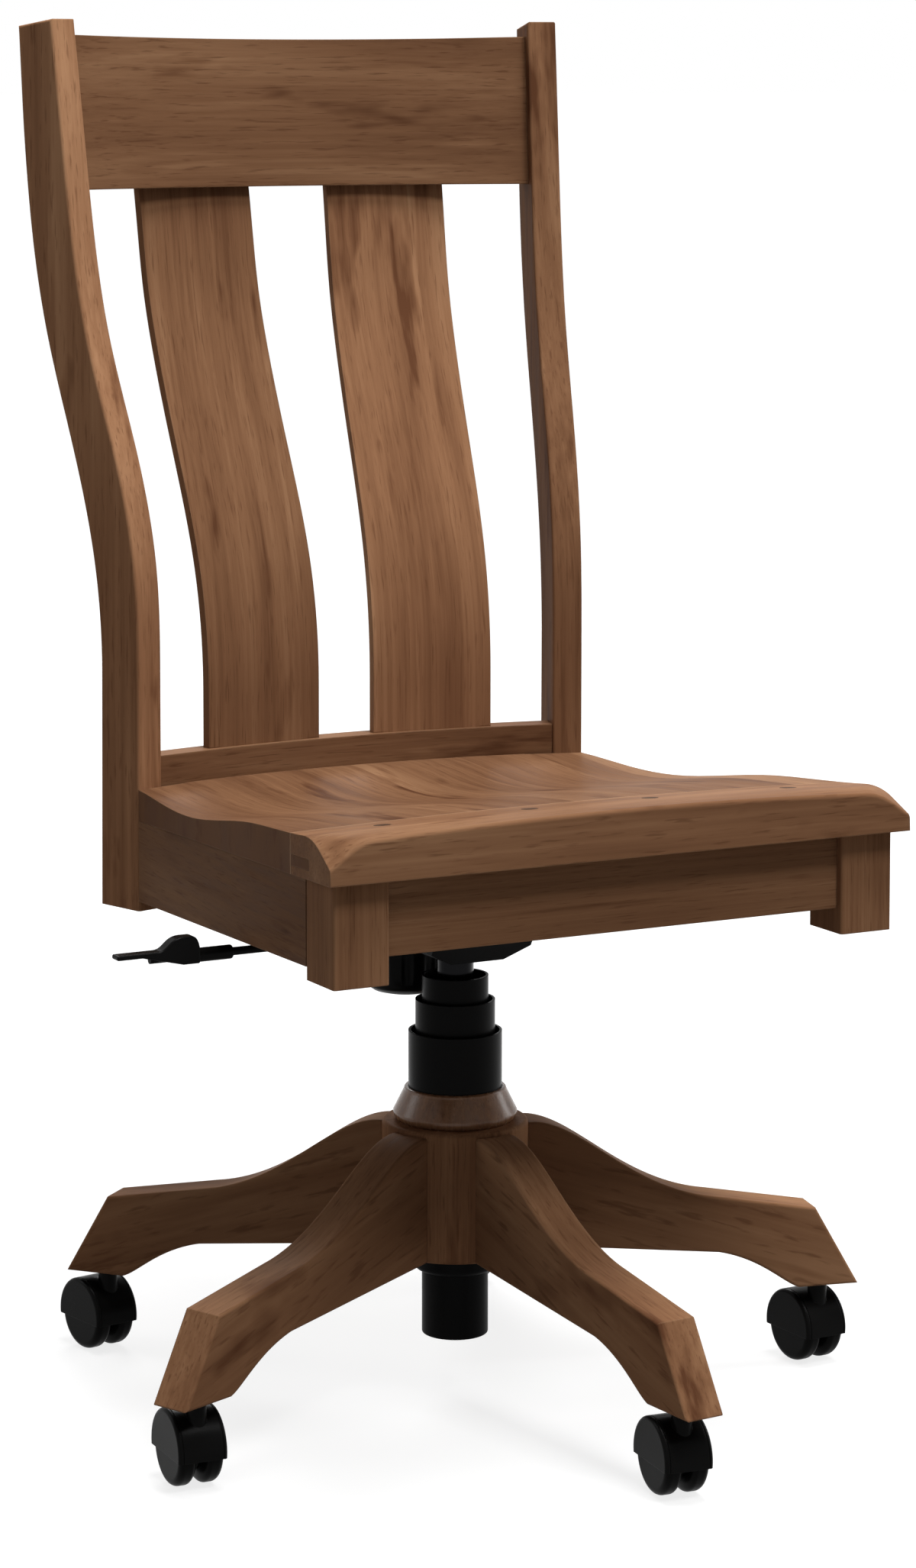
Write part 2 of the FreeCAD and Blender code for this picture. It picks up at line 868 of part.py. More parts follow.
def lower_back_rail():
    board = curved_board(low_rail_middle, low_rail_radius, low_rail_thickness,
                         low_rail_bottom, low_rail_top, 0)
    cheek = (low_rail_thickness - tenon_thickness) / 2
    core = curved_board(low_rail_middle + cheek, low_rail_radius + cheek, tenon_thickness,
                        low_rail_bottom + tenon_margin, low_rail_top - tenon_margin, 0)
    return between_posts(board, core)


def back_apron():
    rear = apron_front + low_rail_thickness
    cheek = (low_rail_thickness - tenon_thickness) / 2
    board = block(-span, span, apron_front, rear, apron_bottom, low_rail_bottom)
    core = block(-span, span, apron_front + cheek, rear - cheek,
                 apron_bottom + tenon_margin, low_rail_bottom - tenon_margin)
    return between_posts(board, core)


def back_slat():
    """Left slat: a bent profile drawn across its width, narrower where it enters the rails."""
    def at(depth, height):
        return Vector(-slat_width / 2, depth, height)

    step = (slat_bend_top - slat_bend_start) / (len(slat_shares) - 1)
    front = [at(share * slat_lean, slat_bend_start + i * step) for i, share in enumerate(slat_shares)]
    shift = Vector(0, slat_thickness, 0)
    rear = [point + shift for point in front]
    foot = at(0, low_rail_top - slat_tongue)
    outline = face_of([line(foot, front[0]), bend(front), line(front[-1], rear[-1]), bend(rear),
                       line(rear[0], foot + shift), line(foot + shift, foot)])
    blank = outline.extrude(right * slat_width)
    inner = slat_width / 2 - slat_shoulder
    shoulders = []
    for x0, x1 in ((-span, -inner), (inner, span)):
        shoulders.append(block(x0, x1, -span, span, 0, low_rail_top))
        shoulders.append(block(x0, x1, -span, span, crest_bottom, post_top))
    return placed(less(blank, *shoulders), -slat_place, slat_front, slat_turn)


# Tilt mechanism

def housing_shell():
    """Open pan: the side outline crossed with the chamfered front outline, then hollowed."""
    side = [(housing_pan_front, housing_floor), (housing_pan_back, housing_floor),
            (housing_pan_back + housing_step_run, housing_shelf), (housing_back, housing_shelf),
            (housing_back, housing_back_top), (housing_front, housing_front_top),
            (housing_front, housing_front_low)]
    profile = closed_face([Vector(-housing_half, y, z) for y, z in side]).extrude(right * housing_half * 2)
    shoulder = housing_floor + housing_chamfer
    cross = [(-housing_floor_half, housing_floor), (housing_floor_half, housing_floor),
             (housing_half, shoulder), (housing_half, housing_front_top),
             (-housing_half, housing_front_top), (-housing_half, shoulder)]
    section = closed_face([Vector(x, -span, z) for x, z in cross]).extrude(back * span * 2)
    body = profile.common(section).Solids[0]
    top = max(body.Faces, key=lambda face: face.CenterOfMass.z)
    return body.makeThickness([top], -housing_wall, housing_wall * thickness_share)


def lever_lugs():
    """Two plates inside the left wall that carry the lever's trunnion."""
    inner = lever_pivot_x + lever_lug_radius
    gap = lever_block_half + free_gap
    pieces = []
    for start in (lever_place - gap - lever_lug, lever_place + gap):
        plate = block(-housing_half + housing_wall / 2, inner, start, start + lever_lug,
                      housing_floor + housing_chamfer, lever_pivot_height)
        pieces.append(plate)
        pieces.append(bar(lever_lug_radius, Vector(lever_pivot_x, start, lever_pivot_height),
                          Vector(lever_pivot_x, start + lever_lug, lever_pivot_height)))
    return pieces


def trunnion(radius):
    reach = lever_block_half + free_gap + lever_lug
    return bar(radius, Vector(lever_pivot_x, lever_place - reach, lever_pivot_height),
               Vector(lever_pivot_x, lever_place + reach, lever_pivot_height))


def tilt_housing():
    body = joined(housing_shell(), rod(boss_radius, housing_floor, boss_top), *lever_lugs())
    rod_hole = bar(lever_hole_radius, Vector(-housing_half - overrun, lever_place, lever_height),
                   Vector(-housing_half + overrun, lever_place, lever_height))
    return less(body, cylinder_outside(), pin_bar(pin_radius), trunnion(lever_pivot_radius + running_gap),
                rod_hole, rod(bolt_radius + running_gap, 0, post_top, 0, knob_place))


def pin_half():
    return housing_half + ear_gap + ear_thickness + pin_head_height


def pin_bar(radius):
    reach = pin_half()
    return bar(radius, Vector(-reach, pin_place, pin_height), Vector(reach, pin_place, pin_height))


def tilt_pin():
    reach = pin_half()
    heads = []
    for x in (-reach, reach - pin_head_height):
        start = Vector(x, pin_place, pin_height)
        heads.append(bar(pin_head_radius, start, start + right * pin_head_height))
    return joined(pin_bar(pin_radius), *heads)


def seat_plate():
    """Plate under the bearers with two ears that hang on the tilt pin."""
    top = seat_underside - bearer_thickness
    plate = sloped(block(-plate_half, plate_half, plate_front, plate_back, top - plate_thickness, top))
    ears = []
    for side in (-1, 1):
        x0 = side * (housing_half + ear_gap)
        x1 = side * (housing_half + ear_gap + ear_thickness)
        ear = block(min(x0, x1), max(x0, x1), pin_place - ear_half, pin_place + ear_half,
                    pin_height, top - plate_thickness / 2)
        start = Vector(min(x0, x1), pin_place, pin_height)
        ears += [ear, bar(ear_round, start, start + right * ear_thickness)]
    return less(joined(plate, *ears), pin_bar(pin_radius + running_gap))


# Lever, knob and spring

def height_lever():
    """Rod, upright block on the trunnion and an arm over the release button."""
    block_front = lever_place - lever_block_half
    block_back = lever_place + lever_block_half
    x0, x1 = lever_pivot_x - lever_block / 2, lever_pivot_x + lever_block / 2
    arm_top = lever_arm_bottom + lever_arm_height
    stand = block(x0, x1, block_front, block_back, lever_block_bottom, arm_top)
    arm = block(x0, lever_arm_end, block_front, lever_arm_end, lever_arm_bottom, arm_top)
    shaft = bar(lever_rod_radius, Vector(lever_rod_end, lever_place, lever_height),
                Vector(lever_pivot_x, lever_place, lever_height))
    return joined(stand, arm, shaft, trunnion(lever_pivot_radius))


def lever_paddle():
    """Moulded grip: a round neck on the rod, a finger ridge and a thin blade."""
    def at(distance, height):
        return Vector(paddle_start - distance, lever_place - paddle_half_width, lever_height + height)

    foot, heel = at(paddle_neck, paddle_neck_radius), at(paddle_neck, -paddle_neck_radius)
    crest, crest_end = at(paddle_ridge, paddle_ridge_height), at(paddle_ridge_end, paddle_ridge_height)
    shoulder = at(paddle_neck + paddle_rounding, paddle_ridge_height)
    blade_start = at(paddle_blade_start, paddle_blade_top)
    fall = bezier(crest_end, at(paddle_fall_middle, paddle_ridge_height),
                  at(paddle_fall_middle, paddle_blade_top), blade_start)
    tip_top = at(paddle_length, paddle_blade_top)
    tip_low = at(paddle_length, paddle_blade_top - paddle_blade)
    low_start = at(paddle_underside_start, paddle_blade_top - paddle_blade)
    belly = at(paddle_ridge_end, -paddle_neck_radius)
    outline = face_of([bezier(foot, shoulder, crest), line(crest, crest_end), fall,
                       line(blade_start, tip_top), line(tip_top, tip_low), line(tip_low, low_start),
                       line(low_start, belly), line(belly, heel), line(heel, foot)])
    blade = outline.extrude(back * paddle_half_width * 2)
    blade = blade.makeFillet(paddle_rounding, blade.Edges)
    neck = bar(paddle_neck_radius, Vector(paddle_start, lever_place, lever_height),
               Vector(paddle_start - paddle_ridge, lever_place, lever_height))
    collar_edge = [edge for edge in neck.Edges if edge.BoundBox.XMin > paddle_start - paddle_rounding]
    neck = neck.makeFillet(paddle_rounding, collar_edge)
    shaft = bar(lever_rod_radius, Vector(lever_rod_end, lever_place, lever_height),
                Vector(0, lever_place, lever_height))
    return less(joined(blade, neck), shaft)


def tension_knob():
    """Turned knob with a domed underside."""
    def at(radius, height):
        return Vector(radius, 0, height)

    bottom, edge = at(0, knob_bottom), at(knob_radius, knob_bottom + knob_dome)
    middle = at(knob_radius * knob_dome_shares[0], knob_bottom + knob_dome * knob_dome_shares[1])
    rim = at(knob_radius, knob_top - easing)
    shoulder = at(knob_radius - easing, knob_top)
    outline = face_of([arc(bottom, middle, edge), line(edge, rim), line(rim, shoulder),
                       line(shoulder, at(0, knob_top)), line(at(0, knob_top), bottom)])
    body = placed(outline.revolve(centre, up, 360).Solids[0], 0, knob_place, 0)
    return less(body, tension_bolt())


def tension_bolt():
    return rod(bolt_radius, bolt_bottom, bolt_top, 0, knob_place)


def spring_cup():
    """Cup round the bolt with two wings that keep it from turning in the housing."""
    top = cup_bottom + cup_thickness
    base = rod(cup_radius, cup_bottom, top + cup_rim_height, 0, knob_place)
    base = base.cut(rod(cup_radius - cup_rim_wall, top, top + cup_rim_height, 0, knob_place))
    wings = block(-cup_wing_half, cup_wing_half, knob_place - cup_wing_width / 2,
                  knob_place + cup_wing_width / 2, cup_bottom, top)
    return less(joined(base.Solids[0], wings), rod(bolt_radius + running_gap, 0, post_top, 0, knob_place))


def tension_spring():
    """Coil of square wire between the cup and the seat plate."""
    bottom = cup_bottom + cup_thickness
    rise = spring_top - bottom - spring_wire
    half = spring_wire / 2
    path = Part.Wire(Part.makeHelix(rise / spring_turns, rise, spring_radius))
    corners = [Vector(spring_radius + x, 0, z) for x, z in
               ((-half, -half), (half, -half), (half, half), (-half, half))]
    coil = path.makePipeShell([Part.makePolygon(corners + corners[:1])], True, True)
    return coil.translated(Vector(0, knob_place, bottom + half))


# Casters, with the axle along local X

def across(radius, x0, x1):
    """Round bar on the wheel axis."""
    start = Vector(x0, caster_trail, wheel_radius)
    return bar(radius, start, start + right * (x1 - x0))


def throat(gap=0.0):
    """Inner edge of a tread, from the wheel's inner face out to its rim, moved off by gap."""
    run, rise = wheel_tread_inner - wheel_inner, wheel_radius - wheel_throat
    shares = ((0, 0),) + throat_handle_shares + ((1, 1),)
    return [Vector(wheel_inner - gap + run * x, 0, wheel_throat + gap + rise * r) for x, r in shares]


def turned(outline):
    """Outline of a distance along the axle and a radius, spun round the axle."""
    body = face_of(outline).revolve(centre, right, 360).Solids[0]
    return body.translated(Vector(0, caster_trail, wheel_radius))


def wheel_space():
    """Room of the wheel on the +X side inside the hood."""
    poles = throat(free_gap)
    end = hood_half - hood_side_wall
    inner_low, inner_high, rim = Vector(poles[0].x, 0, 0), poles[0], poles[-1]
    outer_high, outer_low = Vector(end, 0, rim.z), Vector(end, 0, 0)
    return turned([line(inner_low, inner_high), bezier(*poles), line(rim, outer_high),
                   line(outer_high, outer_low), line(outer_low, inner_low)])


def hood():
    """Drum over both wheels with a neck, a rib between the wheels, a boss and the axle."""
    drum = across(hood_radius, -hood_half, hood_half)
    drum = drum.makeFillet(hood_round, [edge for edge in drum.Edges if len(edge.Vertexes) == 1])
    drum = drum.cut(block(-span, span, -span, span, 0, wheel_radius - hood_skirt))
    start, end = hood_groove_place - hood_groove_width / 2, hood_groove_place + hood_groove_width / 2
    groove = across(hood_radius + overrun, start, end).cut(across(hood_radius - hood_groove_depth, start, end))
    covered = less(drum, groove, mirrored(groove)).fuse(rod(neck_radius, wheel_radius, neck_top))
    space = wheel_space()
    shell = less(covered, space, mirrored(space))
    web_half = wheel_inner - free_gap
    web = across(wheel_throat + free_gap, -web_half, web_half)
    boss_half = wheel_inner + wheel_recess_depth - free_gap
    boss = across(wheel_recess_radius - free_gap, -boss_half, boss_half)
    axle = across(axle_radius, -hood_half + hood_side_wall, hood_half - hood_side_wall)
    return less(joined(shell, web, boss, axle), rod(stem_radius + running_gap, stem_bottom, neck_top))


def wheel():
    """Wheel on the +X side: recessed for the boss, hollow round its hub, rounded at the rim."""
    def at(x, radius):
        return Vector(x, 0, radius)

    bore = axle_radius + running_gap
    hub_face, web = wheel_inner + wheel_recess_depth, wheel_outer - wheel_face
    poles = throat()
    nearly = 1 - math.sqrt(0.5)
    crown_end = at(wheel_outer - wheel_outer_round, wheel_radius)
    bend_middle = at(wheel_outer - wheel_outer_round * nearly, wheel_radius - wheel_outer_round * nearly)
    face_edge = at(wheel_outer, wheel_radius - wheel_outer_round)
    corners = [at(wheel_outer, bore), at(hub_face, bore), at(hub_face, wheel_hub_radius),
               at(web, wheel_hub_radius), at(web, wheel_recess_radius),
               at(wheel_inner, wheel_recess_radius), poles[0]]
    path = [face_edge] + corners
    sides = [line(a, b) for a, b in zip(path, corners)]
    return turned(sides + [bezier(*poles), line(poles[-1], crown_end),
                           arc(crown_end, bend_middle, face_edge)])


def at_caster(shape, index):
    """A caster piece turned to its heading and moved out to its leg."""
    angle = math.radians(leg_angles()[index])
    return placed(shape, caster_circle * math.cos(angle), caster_circle * math.sin(angle),
                  caster_turns[index])


# Build

def build_base():
    save("hub", hub())
    save("collar", collar())
    one_leg = leg()
    for number, angle in enumerate(leg_angles(), 1):
        save("leg_" + str(number), placed(one_leg, 0, 0, angle))
    save("column_sleeve", column_sleeve())
    save("column_tube", column_tube())
    save("guide_bush", guide_bush())
    save("cover_lower", cover_lower())
    save("caster_sockets", *[placed(caster_socket(), 0, 0, angle) for angle in leg_angles()])
    save("caster_stems", *[placed(caster_stem(), 0, 0, angle) for angle in leg_angles()])


def build_casters():
    hood_shape, wheel_shape = hood(), wheel()
    for index in range(leg_count):
        name = "caster_" + str(index + 1)
        save(name + "_hood", at_caster(hood_shape, index))
        save(name + "_wheel_right", at_caster(wheel_shape, index))
        save(name + "_wheel_left", at_caster(mirrored(wheel_shape), index))


def build_lift():
    save("piston_rod", piston_rod())
    save("thrust_bearing", thrust_bearing())
    save("rod_clip", rod_clip())
    save("gas_cylinder", gas_cylinder())
    save("release_button", release_button())
    save("cover_middle", cover_middle())
    save("cover_upper", cover_upper())


def build_mechanism():
    save("tilt_housing", tilt_housing())
    save("tilt_pin", tilt_pin())
    save("seat_plate", seat_plate())
    save("height_lever", height_lever())
    save("lever_paddle", lever_paddle())
    save("tension_knob", tension_knob())
    save("tension_bolt", tension_bolt())
    save("spring_cup", spring_cup())
    save("tension_spring", tension_spring())


def build_seat():
    panel, strip, pegs = seat_pieces()
    save("seat_panel", panel)
    save("seat_front_strip", strip)
    save("seat_pegs", *pegs)
    rail, cross = side_rail(), front_rail()
    post = front_post(rail, cross)
    save("side_rail_left", rail)
    save("side_rail_right", mirrored(rail))
    save("front_rail", cross)
    save("front_post_left", post)
    save("front_post_right", mirrored(post))
    save("seat_bearers", *bearers())


def build_back():
    slat = back_slat()
    slats = (slat, mirrored(slat))
    crest = less(crest_rail(), *slats)
    low_rail = less(lower_back_rail(), *slats)
    apron = back_apron()
    post = less(post_blank(), crest, low_rail, apron, side_rail())
    save("back_slat_left", slats[0])
    save("back_slat_right", slats[1])
    save("crest_rail", crest)
    save("lower_back_rail", low_rail)
    save("back_apron", apron)
    save("back_post_left", post)
    save("back_post_right", mirrored(post))


build_base()
build_casters()
build_lift()
build_mechanism()
build_seat()
build_back()
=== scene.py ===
import math

import bpy
from mathutils import Euler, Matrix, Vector


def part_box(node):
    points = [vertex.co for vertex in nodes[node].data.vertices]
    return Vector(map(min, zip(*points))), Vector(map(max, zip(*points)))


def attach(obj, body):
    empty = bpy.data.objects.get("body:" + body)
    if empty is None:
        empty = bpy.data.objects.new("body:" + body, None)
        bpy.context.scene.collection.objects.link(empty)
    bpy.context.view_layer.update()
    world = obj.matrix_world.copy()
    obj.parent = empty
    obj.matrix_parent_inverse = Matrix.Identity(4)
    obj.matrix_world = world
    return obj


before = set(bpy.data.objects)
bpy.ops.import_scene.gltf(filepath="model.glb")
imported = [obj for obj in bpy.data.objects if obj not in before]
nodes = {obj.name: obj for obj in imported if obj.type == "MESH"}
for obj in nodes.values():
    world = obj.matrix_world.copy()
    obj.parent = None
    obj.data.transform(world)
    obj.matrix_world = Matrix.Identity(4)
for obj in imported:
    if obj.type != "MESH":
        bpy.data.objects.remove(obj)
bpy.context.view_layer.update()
print("chair frame loaded:", len(nodes), "pieces")


# camera and studio
camera = {"place": (-1.4856, -2.7646, 0.9916), "pitch": 5.316, "turn": 27.732, "lens": 97.5,
          "shiftX": 0.026, "shiftY": -0.2, "sensor": 36, "farClip": 600}


def makeCamera():
    data = bpy.data.cameras.new("camera")
    data.sensor_width = camera["sensor"]
    data.lens = camera["lens"]
    data.shift_x = camera["shiftX"]
    data.shift_y = camera["shiftY"]
    data.clip_end = camera["farClip"]
    obj = bpy.data.objects.new("camera", data)
    obj.location = camera["place"]
    obj.rotation_euler = (math.radians(90 - camera["pitch"]), 0, math.radians(-camera["turn"]))
    bpy.context.scene.collection.objects.link(obj)
    bpy.context.scene.camera = obj


# each lamp: where it stands, what it looks at, its size and its power in watts
lamps = {
    "topPanel": {"at": (0.2, -0.6, 4.6), "aim": (0, 0, 0.4), "size": (1.8, 1.8), "power": 215},
    "keyPanel": {"at": (0.6, -2.8, 4.4), "aim": (0, 0, 0.5), "size": (1.2, 1.2), "power": 108},
    "rightPanel": {"at": (3.0, 0.0, 1.2), "aim": (0, 0, 0.45), "size": (0.8, 2.0), "power": 24},
    "leftPanel": {"at": (-2.2, -3.2, 2.2), "aim": (0, 0, 0.2), "size": (0.9, 1.8), "power": 6},
    "backPanel": {"at": (1.2, 3.3, 2.8), "aim": (0, 0, 0.5), "size": (1.6, 1.6), "power": 78},
    "backLeftPanel": {"at": (-2.6, 2.2, 1.8), "aim": (0, 0, 0.5), "size": (1.0, 1.6), "power": 16},
}


def makeLamps():
    for name, lamp in lamps.items():
        data = bpy.data.lights.new(name, "AREA")
        data.shape = "RECTANGLE"
        data.size, data.size_y = lamp["size"]
        data.energy = lamp["power"]
        obj = bpy.data.objects.new(name, data)
        obj.location = lamp["at"]
        aim = Vector(lamp["aim"]) - Vector(lamp["at"])
        obj.rotation_euler = aim.to_track_quat("-Z", "Y").to_euler()
        bpy.context.scene.collection.objects.link(obj)


# adds one node to a tree and sets its values: a socket's by the socket's name
def addNode(tree, kind, **values):
    node = tree.nodes.new(kind)
    for key, value in values.items():
        name = key.replace("_", " ")
        if name in node.inputs:
            node.inputs[name].default_value = value
        else:
            setattr(node, key, value)
    return node


def maths(tree, operation, first, second):
    node = addNode(tree, "ShaderNodeMath", operation=operation)
    for socket, value in zip(node.inputs, (first, second)):
        if isinstance(value, (int, float)):
            socket.default_value = value
        else:
            tree.links.new(value, socket)
    return node.outputs["Value"]


def between(tree, value, fromLow, fromHigh, toLow=0.0, toHigh=1.0, smooth=False):
    node = addNode(tree, "ShaderNodeMapRange", From_Min=fromLow, From_Max=fromHigh,
                   To_Min=toLow, To_Max=toHigh)
    if smooth:
        node.interpolation_type = "SMOOTHSTEP"
    tree.links.new(value, node.inputs["Value"])
    return node.outputs["Result"]


# the mix node has a socket of each name for every data type: these are the colour ones
mixSockets = {"share": 0, "first": 6, "second": 7, "result": 2}


def mixColour(tree, share, first, second):
    node = addNode(tree, "ShaderNodeMix", data_type="RGBA", blend_type="MIX")
    for name, value in (("share", share), ("first", first), ("second", second)):
        socket = node.inputs[mixSockets[name]]
        if isinstance(value, (int, float)):
            socket.default_value = value
        elif isinstance(value, tuple):
            socket.default_value = (*value, 1)
        else:
            tree.links.new(value, socket)
    return node.outputs[mixSockets["result"]]


def toned(colour, tone):
    return tuple(c * tone for c in colour)


# rays that see the studio itself: straight from the camera, mirrored, or through glass
def seenRays(tree):
    ray = addNode(tree, "ShaderNodeLightPath")
    some = maths(tree, "MAXIMUM", ray.outputs["Is Camera Ray"], ray.outputs["Is Glossy Ray"])
    return maths(tree, "MAXIMUM", some, ray.outputs["Is Transmission Ray"])


# the level of the room light that falls on the chair, while seen rays find plain white
room = {"tint": (1, 0.985, 0.96, 1), "level": 0.085, "seen": (1, 1, 1, 1), "seenLevel": 1.0}


def makeWorld():
    world = bpy.data.worlds.new("studio")
    bpy.context.scene.world = world
    world.use_nodes = True
    tree = world.node_tree
    tree.nodes.clear()
    out = addNode(tree, "ShaderNodeOutputWorld")
    dim = addNode(tree, "ShaderNodeBackground", Color=room["tint"], Strength=room["level"])
    white = addNode(tree, "ShaderNodeBackground", Color=room["seen"], Strength=room["seenLevel"])
    mix = addNode(tree, "ShaderNodeMixShader")
    tree.links.new(seenRays(tree), mix.inputs["Fac"])
    tree.links.new(dim.outputs["Background"], mix.inputs[1])
    tree.links.new(white.outputs["Background"], mix.inputs[2])
    tree.links.new(mix.outputs["Shader"], out.inputs["Surface"])


# the floor reads white: its own glow makes up what the lamps leave out, more so far away
floor = {"half": 200.0, "drop": 0.0005, "albedo": 0.26, "spread": 0.01, "noiseScale": 3.0,
         "glowNear": 0.80, "glowFar": 1.0, "near": 0.7, "far": 3.0}


def makeFloor():
    bpy.ops.object.select_all(action="DESELECT")
    bpy.ops.mesh.primitive_plane_add(size=2 * floor["half"], location=(0, 0, -floor["drop"]))
    obj = bpy.context.object
    obj.name = "floor"
    material = bpy.data.materials.new("paleFloor")
    material.use_nodes = True
    tree = material.node_tree
    tree.nodes.clear()
    out = addNode(tree, "ShaderNodeOutputMaterial")
    coords = addNode(tree, "ShaderNodeTexCoord").outputs["Object"]
    noise = addNode(tree, "ShaderNodeTexNoise", Scale=floor["noiseScale"])
    tree.links.new(coords, noise.inputs["Vector"])
    diffuse = addNode(tree, "ShaderNodeBsdfDiffuse")
    albedo = between(tree, noise.outputs["Fac"], 0, 1, floor["albedo"] - floor["spread"],
                     floor["albedo"] + floor["spread"])
    tree.links.new(albedo, diffuse.inputs["Color"])
    reach = addNode(tree, "ShaderNodeVectorMath", operation="LENGTH")
    tree.links.new(coords, reach.inputs[0])
    level = between(tree, reach.outputs["Value"], floor["near"], floor["far"],
                    floor["glowNear"], floor["glowFar"], smooth=True)
    glow = addNode(tree, "ShaderNodeEmission")
    tree.links.new(maths(tree, "MULTIPLY", level, seenRays(tree)), glow.inputs["Strength"])
    add = addNode(tree, "ShaderNodeAddShader")
    tree.links.new(diffuse.outputs["BSDF"], add.inputs[0])
    tree.links.new(glow.outputs["Emission"], add.inputs[1])
    tree.links.new(add.outputs["Shader"], out.inputs["Surface"])
    obj.data.materials.append(material)


def newMaterial(name, ior):
    material = bpy.data.materials.new(name)
    material.use_nodes = True
    tree = material.node_tree
    tree.nodes.clear()
    out = addNode(tree, "ShaderNodeOutputMaterial")
    shader = addNode(tree, "ShaderNodeBsdfPrincipled")
    shader.inputs["IOR"].default_value = ior
    tree.links.new(shader.outputs["BSDF"], out.inputs["Surface"])
    return material, tree, shader


# the middle of a noise's values, over which most of it spreads
noiseMiddle = (0.3, 0.7)

# stained maple: its colours, how much each figure shows, and where on the scale of the figures
# each colour stands; a low IOR keeps the white studio from veiling faces seen at a flat angle
wood = {"dark": (0.094, 0.039, 0.019), "mid": (0.203, 0.100, 0.051), "light": (0.330, 0.182, 0.098),
        # the pale arris colour and its share paint real wear and a highlight along the edges
        "wornAndHighlight": (0.40, 0.25, 0.15), "stops": (0.20, 0.50, 0.82),
        "patch": 0.56, "figure": 0.10, "fibre": 0.74, "streak": 0.15, "mineral": 0.26, "pore": 0.50,
        "wear": 0.60, "roughness": 0.44, "ior": 1.045, "bump": 0.10, "bumpDepth": 0.0006,
        "smoother": 0.05, "rougher": 0.10, "seedShift": (0.37, 0.91, 0.53)}

# each figure's scale along and across the grain, its detail, roughness and bend
figures = {
    "patch": (2.4, 13.0, 3.0, 0.5, 0.0),      # blotches of the stain
    "rings": (0.75, 9.0, 2.0, 0.4, 0.15),     # growth lines are its contours
    "fibre": (2.8, 300.0, 6.0, 0.6, 0.0),     # fine lines along the grain
    "streak": (4.0, 95.0, 3.0, 0.6, 0.0),     # pale and dark streaks
    "mineral": (7.0, 34.0, 3.0, 0.6, 0.0),    # rare dark marks
    "pore": (34.0, 700.0, 2.0, 0.5, 0.0),     # tiny dashes
}
ringWaves = 46.0

# where a figure's noise starts to count and where it counts in full
counts = {"paleStreak": (0.60, 0.74), "darkStreak": (0.40, 0.26), "mineral": (0.60, 0.72),
          "pore": (0.58, 0.70)}

# edges painted paler, partly real wear and partly a painted highlight on the arrises, and the fine
# pale line of the joint between the seat panel and its front strip, a painted highlight
arris = {"radius": 0.0016, "samples": 4, "flat": 0.995, "sharp": 0.84, "scale": 24.0, "detail": 3.0}
jointHighlight = {"edge": 0.0009, "core": 0.0003, "share": 0.85}


def stretched(tree, coords, turn, size, shift):
    # turn takes the grain to X, then the pattern is scaled along and across it
    lay = addNode(tree, "ShaderNodeMapping", vector_type="POINT")
    lay.inputs["Rotation"].default_value = [math.radians(a) for a in turn]
    lay.inputs["Location"].default_value = shift
    draw = addNode(tree, "ShaderNodeMapping", vector_type="POINT")
    draw.inputs["Scale"].default_value = size
    tree.links.new(coords, lay.inputs["Vector"])
    tree.links.new(lay.outputs["Vector"], draw.inputs["Vector"])
    return draw.outputs["Vector"]


# boards glued edge to edge: each board shifts the pattern and has its own tone
boards = {"width": 0.092, "tone": 0.10, "shiftY": 3.1, "shiftZ": 1.7}


def boardTones(tree, coords):
    split = addNode(tree, "ShaderNodeSeparateXYZ")
    tree.links.new(coords, split.inputs["Vector"])
    index = maths(tree, "FLOOR", maths(tree, "DIVIDE", split.outputs["X"], boards["width"]), 0)
    draw = addNode(tree, "ShaderNodeTexWhiteNoise", noise_dimensions="1D")
    tree.links.new(index, draw.inputs["W"])
    push = addNode(tree, "ShaderNodeCombineXYZ")
    for axis in ("Y", "Z"):
        tree.links.new(maths(tree, "MULTIPLY", draw.outputs["Value"], boards["shift" + axis]),
                       push.inputs[axis])
    moved = addNode(tree, "ShaderNodeVectorMath", operation="ADD")
    tree.links.new(coords, moved.inputs[0])
    tree.links.new(push.outputs["Vector"], moved.inputs[1])
    return moved.outputs["Vector"], draw.outputs["Value"]


